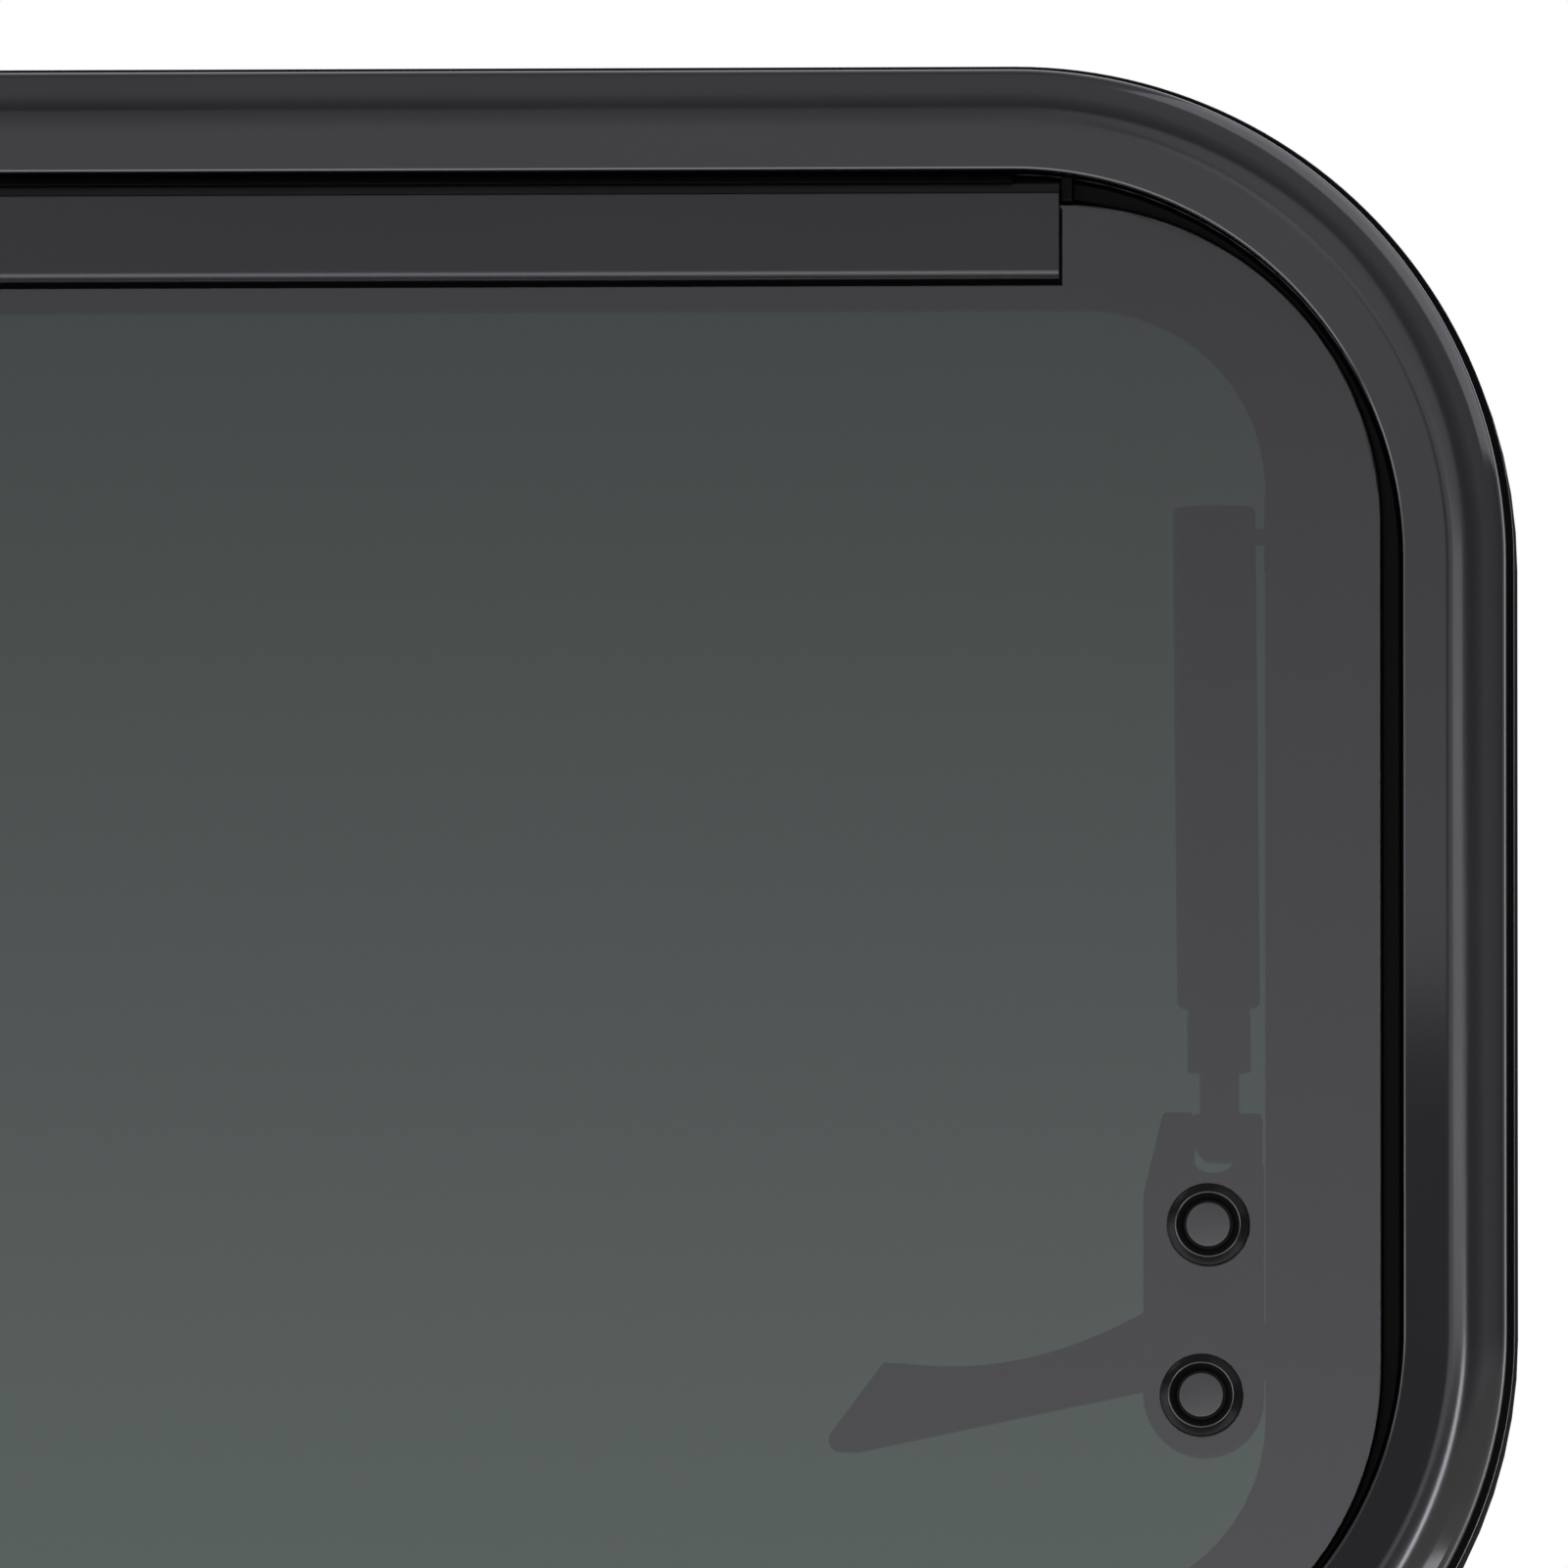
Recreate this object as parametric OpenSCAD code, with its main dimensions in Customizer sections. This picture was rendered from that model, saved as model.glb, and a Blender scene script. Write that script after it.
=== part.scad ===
// Caravan window: top-hung dark glass in a rounded black frame, clamped to the wall by an inner ring.
// Modules draw in the window's own plane: x to the right seen from outside, y up from the window's middle
// and z outwards from the caravan's outer skin. stand_up() turns that plane upright.

/* [Wall opening] */
// Width of the hole that is cut in the wall
cutout_w = 900; // [760:10:1400]
// Height of the hole that is cut in the wall
cutout_h = 450; // [420:10:700]
// Corner radius of the hole that is cut in the wall
cutout_r = 120; // [105:1:140]
// Thickness of the wall
wall_t = 26; // [24:1:40]

/* [Outer frame] */
// Lap of the frame's foot over the wall round the hole
overlap = 16; // [16:0.5:22]
// Reach of the foot past the outer edge of the face
foot_reach = 2; // [1:0.2:6]
// Width of the face, from its outer edge to the lip beside the glass
face_w = 27.6; // [26:0.1:34]
// Distance from the face's outer edge to its crest
crest_in = 14; // [10:0.2:15]
// Height of the crest above the wall
crest_h = 25; // [23:0.5:30]
// Height of the upright side below the rounded part of the face
side_h = 17.5; // [6:0.5:19]
// Fall of the flat half of the face from the crest to the lip
face_fall = 1.2; // [0.4:0.1:2]
// Thickness of the frame's walls
frame_t = 1.8; // [1.4:0.1:2.4]
// Width of the foot's flange on the gasket
foot_w = 10; // [7:0.5:13]
// Clearance between the neck and the edge of the hole in the wall
neck_gap = 1.5; // [0.5:0.1:2.5]
// Reach of the seal's ledge from the lip towards the window's middle
ledge_w = 14.5; // [12:0.5:18]
// Height of the ledge's upper face above the wall
ledge_h = 5; // [3.5:0.5:6]

/* [Gasket and seal] */
// Thickness of the gasket between the foot and the wall
gasket_t = 2; // [1.5:0.1:3]
// Thickness of the seal under the rim of the glass
seal_t = 2.5; // [1.5:0.1:3]
// Distance from the lip's wall to the seal's fin
fin_in = 1.2; // [0.8:0.1:1.6]
// Width of the seal's fin in the gap round the glass, where the glass leaves it room
fin_w = 5; // [2:0.1:6]
// Height of the fin above the face on which the glass lies
fin_h = 2.1; // [1:0.1:3]

/* [Glass] */
// Thickness of the glass
glass_t = 4; // [3:0.5:6]
// Gap between the lip and the glass at the sides
glass_gap_side = 6.2; // [6:0.1:8]
// Gap between the lip and the glass at the top and the bottom
glass_gap_top = 8.4; // [8.2:0.1:10]
// Corner radius of the glass
glass_r = 88; // [86:1:110]

/* [Hinge] */
// Distance from the end of the hinge rail to the outer side of the frame
rail_end_in = 123.3; // [110:1:200]
// Height of the hinge rail's face
rail_h = 23.5; // [18:0.5:30]
// Thickness of the hinge rail
rail_t = 6; // [5:0.2:8]
// Gap between the lip and the top of the hinge rail
rail_gap = 5.7; // [5:0.1:7]
// Radius of the rail's rounded lower edge
rail_edge_r = 2.4; // [1:0.1:3]
// Thickness of the bonding strip between the rail and the glass
strip_t = 1; // [0.5:0.1:2]
// Reach of the bonding strip below the hinge rail
strip_reach = 1.6; // [0:0.1:3]
// Reach of the bonding strip past the ends of the hinge rail
strip_end = 0.6; // [0:0.1:2]
// Distance from the top of the glass to the bonding strip
strip_inset = 1.5; // [0.5:0.1:3]
// Radius of the hinge's bead
bead_r = 1.9; // [1.6:0.1:2]
// Clearance round the bead in its socket
bead_gap = 0.3; // [0.1:0.05:0.4]
// Wall thickness of the socket
socket_t = 1.6; // [1.2:0.1:1.7]
// Length of each end stop of the hinge
stop_len = 2.9; // [2:0.1:6]
// Clearance between the end stops and the rail
stop_gap = 0.5; // [0.3:0.1:1]

/* [Inner ring] */
// Inset of the ring's opening from the outer side of the frame, at the left and right
ring_open_side = 68.6; // [66:0.2:80]
// Inset of the ring's opening from the outer side of the frame, at the top and bottom
ring_open_top = 64.5; // [60:0.5:72]
// Corner radius of the ring's opening
ring_open_r = 49.5; // [30:0.5:60]
// Inset of the ring's outer edge from the outer side of the frame
ring_edge_in = 0; // [0:0.5:12]
// Thickness of the ring
ring_t = 2.2; // [1.8:0.1:3]
// Height of the collar round the ring's opening
ring_collar_h = 7; // [3:0.5:8]
// Clearance between the neck's end and the ring
clamp_gap = 0.3; // [0.1:0.1:0.8]

/* [Stay] */
// Distance of the stay's foot axis from the outer side of the frame
stay_side_in = 80.5; // [80:0.1:90]
// Lean of the stay in the window's plane, in degrees
stay_lean = 0.5; // [0:0.1:1.5]
// Height of the stay's top pin below the top of the frame
stay_top_drop = 128; // [115:1:150]
// Outer diameter of the stay's tube
tube_d = 22.6; // [18:0.2:23]
// Length of the tube above the top pin
tube_head = 7.9; // [7:0.5:14]
// Diameter of the ferrule at the tube's lower end
ferrule_d = 17.4; // [14:0.2:17.6]
// Length of the ferrule
ferrule_len = 17.5; // [10:0.5:24]
// Diameter of the sliding rod
rod_d = 10.9; // [8:0.1:12]
// Running clearance round the rod
rod_gap = 0.25; // [0.1:0.05:0.4]
// Visible length of the rod when the window is closed
rod_show = 11.5; // [6:0.5:20]
// Length of the rod inside the tube when the window is closed
rod_inside = 42; // [20:1:60]
// Width of the block at the rod's lower end
block_w = 18.2; // [15:0.2:20]
// Height of the block at the rod's lower end
block_h = 13; // [10:0.5:16]
// Depth of the block at the rod's lower end
block_t = 13; // [11:0.5:15]
// Gap between the glass and the stay's tube
tube_glass_gap = 2.4; // [1:0.1:5]
// Radius of the stay's pins
pin_r = 2.4; // [1.6:0.1:3]
// Clearance round the stay's pins
pin_gap = 0.1; // [0.05:0.05:0.3]
// Thickness of the stay's top bracket
bracket_t = 2.5; // [1.5:0.1:4]
// Height of the stay's top bracket
bracket_h = 20; // [14:1:26]

/* [Latch] */
// Distance of the latch's middle line from the outer side of the frame
latch_side_in = 84.9; // [83:0.1:90]
// Height of the lower fixing screw above the bottom of the frame
latch_up = 118.9; // [110:0.5:140]
// Width of the latch body
latch_w = 32; // [28:0.5:34]
// Height of the latch body above the lower fixing screw
latch_rise = 77.4; // [76:0.5:84]
// Depth of the latch body
latch_t = 18; // [15:0.5:19]
// Distance between the two fixing screws
screw_pitch = 46.4; // [44:0.2:50]
// Sideways shift of the upper screw from the lower one
screw_shift = 1.9; // [0:0.1:2.5]
// Width of the slim horn beside the stay's foot
horn_w = 8; // [7:0.1:8.5]
// Gap between the horn and the block at the stay's foot
horn_gap = 0.3; // [0.3:0.1:1.5]
// Gap below the stay's foot block
foot_gap = 0.3; // [0.3:0.1:4]
// Width of the hollow in the latch body under the block
hollow_w = 10.7; // [6:0.1:14]
// Depth of that hollow
hollow_d = 3.2; // [1:0.1:6]
// Height of the lever's pivot above the lower fixing screw
lever_up = 13.4; // [13:0.5:18]
// Thickness of the lever
lever_t = 6; // [4:0.5:6.5]
// Radius of the lever's hub
hub_r = 11; // [10.6:0.1:12]
// Clearance between the lever and the latch body
lever_gap = 0.3; // [0.1:0.05:0.5]
// Radius of the lever's pivot pin
pivot_r = 4; // [3:0.1:5]
// Length of the tongue beside the lever's pivot
tongue_len = 34; // [30:0.5:38]
// Width of the tongue and the keeper
keeper_w = 16; // [12:0.5:20]
// Thickness of the tongue
tongue_t = 4; // [3:0.2:4]
// Thickness of the keeper
keeper_t = 3.5; // [2:0.1:5]

/* [Lever blade] */
// Reach of the blade from the pivot to its nose
lever_len = 102.5; // [80:0.5:120]
// Drop of the nose's upper corner below the pivot
lever_drop = 20.5; // [12:0.5:30]
// Height of the nose
nose_h = 6.8; // [6:0.2:12]
// Radius of the nose
nose_r = 3.4; // [2:0.2:4]
// Distance from the nose to the heel of the lower edge
heel_len = 8; // [6:0.5:20]
// Distance from the pivot at which the blade leaves the latch body
root_reach = 16.7; // [14:0.1:20]
// Height of the blade's upper edge above the pivot where it leaves the latch body
root_up = 10.6; // [8:0.1:10.6]
// Depth of the blade's lower edge below the pivot where it leaves the latch body
root_down = 11; // [6:0.1:11]
// Sag of the blade's upper edge
blade_sag = 5.6; // [2:0.2:8]
// Distance from the nose to the crown of the upper edge
crown_len = 15; // [10:0.5:20]
// Width of the crown
crown_w = 6; // [4:0.5:10]
// Drop of the crown below the pivot
crown_down = 3.1; // [0:0.1:6]
// Rise of the crown's outer corner
crown_rise = 0.3; // [0:0.1:2]

/* [Fixing caps] */
// Diameter of a fixing cap
cap_d = 22.7; // [20:0.1:24]
// Height of a fixing cap above the glass
cap_h = 3.8; // [3:0.1:5]
// Diameter of the flat disc in the middle of a cap
cap_disc_d = 12; // [10:0.2:13]
// Radius of a cap's shank
shank_r = 4; // [3:0.1:4.5]
// Clearance round the shank in the glass
shank_gap = 1; // [0.5:0.1:1.5]
// Depth of the shank in the latch body
shank_in = 8; // [5:0.5:10]
// Thickness of the washer between the glass and the latch body
washer_t = 1.5; // [1:0.1:2]

/* [Hidden] */
$fn = 64;
eps = 0.01;

// Outer size of the frame
half_w = cutout_w / 2 + overlap;
half_h = cutout_h / 2 + overlap;
outer_r = cutout_r + overlap;
// The seat's middle line on the lower rail is the part's origin
gasket_in = 0.6;
gasket_w = overlap - 2 * gasket_in;
seat_in = gasket_in + gasket_w / 2;

// Insets across the frame's section, from its outer side
in_crest = foot_reach + crest_in;
in_lip = foot_reach + face_w;
in_neck = overlap + neck_gap;
in_ledge = in_lip + ledge_w;
lip_h = crest_h - face_fall;
lip_round = 0.9;
side_top = gasket_t + side_h;
arc_steps = 9;

// Glass, between the seal and the outside
glass_back = ledge_h + seal_t;
glass_front = glass_back + glass_t;
glass_half_w = half_w - in_lip - glass_gap_side;
glass_half_h = half_h - in_lip - glass_gap_top;

// Hinge
rail_half = half_w - rail_end_in;
rail_top = half_h - in_lip - rail_gap;
rail_back = glass_front + strip_t;
rail_front = rail_back + rail_t;
rail_bottom = rail_top - rail_h;
socket_out_r = bead_r + bead_gap + socket_t;
bead_y = half_h - in_lip - socket_out_r - 0.2;
bead_z = glass_back + socket_out_r + 0.2;

// Inner ring
ring_front = -wall_t;
open_half_w = half_w - ring_open_side;
open_half_h = half_h - ring_open_top;

// Stay: its foot pin is level with the middle of the end block
stay_x = half_w - stay_side_in;
stay_z = glass_back - tube_glass_gap - tube_d / 2;
tube_chamfer = 2;
latch_x = half_w - latch_side_in;
latch_y = latch_up - half_h;
latch_front = glass_back - washer_t;
latch_back = latch_front - latch_t;
latch_top = latch_y + latch_rise;
block_bottom = latch_top - block_h;
foot_y = latch_top - block_h / 2;
top_pin_y = half_h - stay_top_drop;
ferrule_bottom = latch_top + rod_show;
tube_bottom = ferrule_bottom + ferrule_len;
tube_top = top_pin_y + tube_head;
tube_len = tube_top - tube_bottom;
ferrule_plug = 4;
bracket_x = stay_x + tube_d / 2 + 1.2;
neck_x = half_w - in_neck - frame_t;
seat_gap = 0.1;
clear = 0.4;
bracket_back = 10;

// Lever, in front of the inner ring on the room side of the latch body
lever_front = latch_back - lever_gap;
lever_y = latch_y + lever_up;
hole_r = shank_r + shank_gap;
washer_r = 9.5;

// Points of an arc of an ellipse
function arc_points(x, y, rx, ry, from, to, steps) =
    [for (i = [0:steps]) let (a = from + (to - from) * i / steps) [x + rx * cos(a), y + ry * sin(a)]];

function reversed(list) = [for (i = [len(list) - 1:-1:0]) list[i]];

// Stands the window's plane upright with the origin on its seat
module stand_up() {
    translate([0, 0, half_h - seat_in]) rotate([90, 0, 0]) children();
}

// The left half of the window repeats the right one
module side_of(left) {
    if (left) mirror([1, 0, 0]) children();
    else children();
}

// Rectangle with rounded corners, about the middle
module rounded_rect(hw, hh, r) {
    union() {
        translate([-hw, r - hh]) square([2 * hw, 2 * (hh - r)]);
        translate([r - hw, -hh]) square([2 * (hw - r), 2 * hh]);
        for (sx = [-1, 1], sy = [-1, 1]) translate([sx * (hw - r), sy * (hh - r)]) circle(r);
    }
}

// One straight rail of a ring: the section's x is the inset from the outer side and its y points outwards
module straight_rail(reach, len) {
    translate([-len / 2, reach, 0]) rotate([90, 0, 90]) linear_extrude(len) mirror([1, 0]) children();
}

// Closed ring round the window, swept from a section of insets and heights
module ring_sweep() {
    for (a = [0, 180]) {
        rotate([0, 0, a]) straight_rail(half_h, 2 * (half_w - outer_r)) children();
        rotate([0, 0, a + 90]) straight_rail(half_w, 2 * (half_h - outer_r)) children();
    }
    for (sx = [0, 1], sy = [0, 1]) {
        mirror([sx, 0, 0]) mirror([0, sy, 0])
            translate([half_w - outer_r, half_h - outer_r, 0])
                rotate_extrude(angle = 90, $fn = 96) translate([outer_r, 0]) mirror([1, 0]) children();
    }
}

// Outer side of the frame: the foot's flange and the upright side on it
function side_points() = [
    [0, gasket_t],
    [0, gasket_t + frame_t],
    [foot_reach, gasket_t + frame_t]
];

// Rounded outer half of the face, set in by an inset; it meets the flat half in a slight crease
function face_arc(inset) = let (past = 2, rx = crest_in + past, edge = acos(past / rx))
    arc_points(in_crest + past, side_top, rx - inset, (crest_h - side_top) / sin(edge) - inset,
        180, 180 - edge, arc_steps);

// Outline of the frame's section
module frame_section() {
    in_side = foot_reach + frame_t;
    neck_end = clamp_gap - wall_t;
    lip_in = in_lip - frame_t;
    difference() {
        polygon(concat(
            side_points(),
            face_arc(0),
            [[in_lip - lip_round, lip_h]],
            arc_points(in_lip - lip_round, lip_h - lip_round, lip_round, lip_round, 60, 0, 2),
            [
                [in_lip, ledge_h],
                [in_ledge, ledge_h],
                [in_ledge, ledge_h - frame_t],
                [in_neck + frame_t, ledge_h - frame_t],
                [in_neck + frame_t, neck_end],
                [in_neck, neck_end],
                [in_neck, lip_h - frame_t]
            ],
            reversed([for (p = face_arc(frame_t)) if (p[0] < in_neck) p]),
            [
                [in_side, gasket_t + frame_t],
                [foot_w, gasket_t + frame_t],
                [foot_w, gasket_t]
            ]
        ));
        polygon([
            [in_neck + frame_t, ledge_h],
            [in_neck + frame_t, lip_h - frame_t],
            [lip_in, lip_h - frame_t],
            [lip_in, ledge_h]
        ]);
    }
}

module outer_frame() {
    color([0.07, 0.07, 0.075]) stand_up() ring_sweep() frame_section();
}

module skin_gasket() {
    color([0.04, 0.04, 0.04]) stand_up()
        ring_sweep() translate([gasket_in, 0]) square([gasket_w, gasket_t]);
}

// Seal: a flat bed under the rim of the glass and a fin in the gap, cut away where the hinge lies
module glass_seal() {
    fin_from = in_lip + fin_in;
    fin_to = fin_from + fin_w;
    fin_top = glass_back + fin_h;
    fin_round = 0.4;
    fin_clear = 0.3;
    color([0.05, 0.05, 0.05]) stand_up() difference() {
        ring_sweep() polygon([
            [in_lip + seat_gap, ledge_h],
            [in_ledge - 0.5, ledge_h],
            [in_ledge - 0.5, glass_back],
            [fin_to, glass_back],
            [fin_to, fin_top - fin_round],
            [fin_to - fin_round, fin_top],
            [fin_from + fin_round, fin_top],
            [fin_from, fin_top - fin_round],
            [fin_from, glass_back - 1],
            [in_lip + seat_gap, glass_back - 1.3]
        ]);
        translate([0, half_h - in_lip - ledge_w / 2, glass_back + fin_h])
            cube([2 * (rail_half + stop_gap + stop_len + 0.3), ledge_w + 2, 2 * fin_h], center = true);
        translate([0, 0, glass_back]) linear_extrude(fin_h + 1)
            rounded_rect(glass_half_w + fin_clear, glass_half_h + fin_clear, glass_r + fin_clear);
    }
}

// Centres of the two fixing screws on the right, lower one first
function screw_places() = [[latch_x, latch_y], [latch_x + screw_shift, latch_y + screw_pitch]];

module glass_pane() {
    color([0.15, 0.18, 0.16, 0.6]) stand_up() difference() {
        translate([0, 0, glass_back]) linear_extrude(glass_t) rounded_rect(glass_half_w, glass_half_h, glass_r);
        for (left = [false, true], p = screw_places())
            side_of(left) translate([p[0], p[1], glass_back - 1]) cylinder(h = glass_t + 2, r = hole_r);
    }
}

// Plate on the room side with a collar round its opening and a turned edge
module inner_ring() {
    edge_w = 2;
    edge_h = 1.5;
    hw = half_w - ring_edge_in;
    hh = half_h - ring_edge_in;
    color([0.09, 0.09, 0.095]) stand_up() difference() {
        union() {
            translate([0, 0, ring_front - ring_t]) linear_extrude(ring_t)
                rounded_rect(hw, hh, outer_r - ring_edge_in);
            translate([0, 0, ring_front - ring_t - edge_h]) linear_extrude(edge_h + eps)
                rounded_rect(hw - edge_w, hh - edge_w, outer_r - ring_edge_in - edge_w);
            translate([0, 0, ring_front - ring_t]) linear_extrude(ring_collar_h + ring_t)
                rounded_rect(open_half_w + ring_t, open_half_h + ring_t, ring_open_r + ring_t);
        }
        translate([0, 0, ring_front - ring_t - 2 * edge_h]) linear_extrude(ring_collar_h + ring_t + 3 * edge_h)
            rounded_rect(open_half_w, open_half_h, ring_open_r);
    }
}

// Flat rail on the glass with a rounded lower edge and the hinge's bead behind its top
module hinge_rail() {
    web_t = 1.5;
    color([0.08, 0.08, 0.085]) stand_up() translate([-rail_half, 0, 0]) rotate([90, 0, 90])
        linear_extrude(2 * rail_half)
            polygon(concat(
                arc_points(rail_bottom + rail_edge_r, rail_front - rail_edge_r, rail_edge_r, rail_edge_r,
                    180, 90, 6),
                [[rail_top, rail_front], [rail_top, rail_back + web_t]],
                arc_points(bead_y, bead_z, bead_r, bead_r, 90, -180, 12),
                [[rail_top - web_t, bead_z], [rail_top - web_t, rail_back], [rail_bottom, rail_back]]
            ));
}

module hinge_bonding_strip() {
    strip_half = rail_half + strip_end;
    strip_top = glass_half_h - strip_inset;
    strip_bottom = rail_bottom - strip_reach;
    color([0.03, 0.03, 0.03]) stand_up()
        translate([-strip_half, strip_bottom, glass_front])
            cube([2 * strip_half, strip_top - strip_bottom, strip_t]);
}

// The frame's half of the hinge: an open hook round the bead, on the wall below the lip
module hinge_socket_rail() {
    mouth_y = 1.2;
    mouth_z = 1.4;
    socket_half = min(rail_half, half_w - outer_r);
    color([0.05, 0.05, 0.05]) stand_up() translate([-socket_half, 0, 0]) rotate([90, 0, 90])
        linear_extrude(2 * socket_half) difference() {
            union() {
                translate([bead_y, bead_z]) circle(socket_out_r);
                translate([bead_y, bead_z - socket_out_r])
                    square([half_h - in_lip - bead_y, 1.2 * socket_out_r]);
            }
            translate([bead_y, bead_z]) circle(bead_r + bead_gap);
            translate([bead_y - 2 * socket_out_r, bead_z - mouth_z])
                square([2 * socket_out_r + mouth_y, 3 * socket_out_r]);
        }
}

// How far a rail at an inset has curved in where its corner has gone on for a distance
function corner_drop(inset, past) = let (r = outer_r - inset, p = max(0, past)) r - sqrt(r * r - p * p);

module hinge_stop(left) {
    stop_h = 7;
    from_x = rail_half + stop_gap;
    from_y = glass_half_h + 0.5;
    to_y = half_h - in_lip - corner_drop(in_lip, from_x + stop_len - half_w + outer_r) - seat_gap;
    color([0.04, 0.04, 0.04]) stand_up() side_of(left)
        translate([from_x, from_y, glass_back + 0.2]) cube([stop_len, to_y - from_y, stop_h]);
}

// Puts a piece on the stay's leaning axis: y runs up along it and z stays outwards
module on_stay() {
    translate([stay_x, foot_y, stay_z]) rotate([0, 0, stay_lean]) translate([0, -foot_y, 0]) children();
}

// Round bar along the stay
module stay_bar(from, to, r) {
    translate([0, from, 0]) rotate([-90, 0, 0]) cylinder(h = to - from, r = r);
}

// Hole or pin across the stay, parallel to the hinge
module cross_bar(from, to, y, r) {
    translate([from, y, stay_z]) rotate([0, 90, 0]) cylinder(h = to - from, r = r);
}

module stay_tube(left) {
    head_x = stay_x - (top_pin_y - foot_y) * sin(stay_lean);
    color([0.1, 0.1, 0.1]) stand_up() side_of(left) difference() {
        on_stay() difference() {
            translate([0, tube_bottom, 0]) rotate([-90, 0, 0]) rotate_extrude() polygon([
                [0, 0],
                [tube_d / 2 - tube_chamfer, 0],
                [tube_d / 2, tube_chamfer],
                [tube_d / 2, tube_len - tube_chamfer / 2],
                [tube_d / 2 - tube_chamfer / 2, tube_len],
                [0, tube_len]
            ]);
            stay_bar(tube_bottom - 1, tube_bottom + ferrule_plug + 0.2, ferrule_d / 2 - 1.5);
            stay_bar(tube_bottom - 1, tube_bottom + rod_inside + 5, rod_d / 2 + rod_gap);
        }
        cross_bar(head_x - tube_d, head_x + tube_d, top_pin_y, pin_r + pin_gap);
    }
}

module stay_ferrule(left) {
    groove = 0.8;
    color([0.09, 0.09, 0.09]) stand_up() side_of(left) on_stay() difference() {
        union() {
            stay_bar(ferrule_bottom, tube_bottom, ferrule_d / 2);
            stay_bar(tube_bottom - eps, tube_bottom + ferrule_plug, ferrule_d / 2 - 1.6);
        }
        translate([0, tube_bottom - 2 * groove, 0]) rotate([-90, 0, 0]) difference() {
            cylinder(h = groove, r = ferrule_d);
            translate([0, 0, -1]) cylinder(h = groove + 2, r = ferrule_d / 2 - groove);
        }
        stay_bar(ferrule_bottom - 1, tube_bottom + ferrule_plug + 1, rod_d / 2 + rod_gap);
    }
}

module stay_rod(left) {
    color([0.25, 0.25, 0.25]) stand_up() side_of(left) on_stay()
        stay_bar(latch_top, tube_bottom + rod_inside, rod_d / 2);
}

// Block at the rod's foot, with one rounded corner and a hole for the foot pin
module stay_end_block(left) {
    corner = 5;
    from_x = latch_x - latch_w / 2 + horn_w + horn_edge() + horn_gap;
    color([0.1, 0.1, 0.1]) stand_up() side_of(left) difference() {
        translate([from_x, block_bottom, stay_z - block_t / 2]) linear_extrude(block_t) union() {
            translate([corner, 0]) square([block_w - corner, block_h]);
            translate([0, corner]) square([block_w, block_h - corner]);
            translate([corner, corner]) circle(corner);
        }
        cross_bar(from_x - 1, from_x + block_w + 1, foot_y, pin_r + pin_gap);
    }
}

// How far the top of the latch body's outer side steps in
function horn_edge() = 5.4;

// Angle bracket that carries the stay's top pin from the neck of the frame
module stay_top_bracket(left) {
    y = top_pin_y - bracket_h / 2;
    z = stay_z - bracket_back;
    depth = ledge_h - frame_t - clear - z;
    to_x = neck_x - seat_gap - corner_drop(in_neck + frame_t, y + bracket_h - half_h + outer_r);
    color([0.08, 0.08, 0.08]) stand_up() side_of(left) difference() {
        union() {
            translate([bracket_x, y, z]) cube([bracket_t, bracket_h, depth]);
            translate([bracket_x, y, z]) cube([to_x - bracket_x, bracket_h, bracket_t]);
            translate([to_x - bracket_t, y, z]) cube([bracket_t, bracket_h, depth]);
        }
        cross_bar(bracket_x - 1, bracket_x + bracket_t + 1, top_pin_y, pin_r + pin_gap);
    }
}

module stay_top_pin(left) {
    head = 1.5;
    from = bracket_x - tube_d * 0.8;
    color([0.5, 0.5, 0.5]) stand_up() side_of(left) {
        cross_bar(from, bracket_x + bracket_t + head, top_pin_y, pin_r);
        cross_bar(bracket_x + bracket_t + 0.1, bracket_x + bracket_t + head, top_pin_y, 1.8 * pin_r);
    }
}

module stay_foot_pin(left) {
    from = latch_x - latch_w / 2 + horn_edge() + 1;
    color([0.5, 0.5, 0.5]) stand_up() side_of(left)
        cross_bar(from, from + horn_w + block_w * 0.8, foot_y, pin_r);
}

// Moulded body behind the glass: round at the bottom, with a slim horn beside the stay's foot
module latch_body(left) {
    r = latch_w / 2;
    block_left = latch_x - r + horn_edge() + horn_w + horn_gap;
    shoulder = latch_top - block_h - foot_gap;
    slope_from = shoulder - 9;
    color([0.12, 0.12, 0.12]) stand_up() side_of(left) difference() {
        translate([0, 0, latch_back]) linear_extrude(latch_t) union() {
            translate([latch_x, latch_y]) circle(r);
            polygon([
                [latch_x - r, latch_y],
                [latch_x + r, latch_y],
                [latch_x + r, shoulder],
                [latch_x - r + horn_edge() + horn_w, shoulder],
                [latch_x - r + horn_edge() + horn_w, latch_top],
                [latch_x - r + horn_edge(), latch_top],
                [latch_x - r, slope_from]
            ]);
        }
        translate([0, 0, latch_back - 1]) linear_extrude(latch_t + 2) polygon(concat(
            [[block_left, shoulder + 1]],
            arc_points(block_left + hollow_w / 2, shoulder, hollow_w / 2, hollow_d, 180, 360, 10),
            [[block_left + hollow_w, shoulder + 1]]
        ));
        for (p = screw_places())
            translate([p[0], p[1], latch_front - shank_in - 1]) cylinder(h = shank_in + 2, r = shank_r + 0.15);
        translate([latch_x, lever_y, latch_back - 1]) cylinder(h = 9, r = pivot_r + 0.15);
        cross_bar(latch_x - r + horn_edge() + 1 - eps, latch_x + r, foot_y, pin_r + pin_gap);
    }
}

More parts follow.
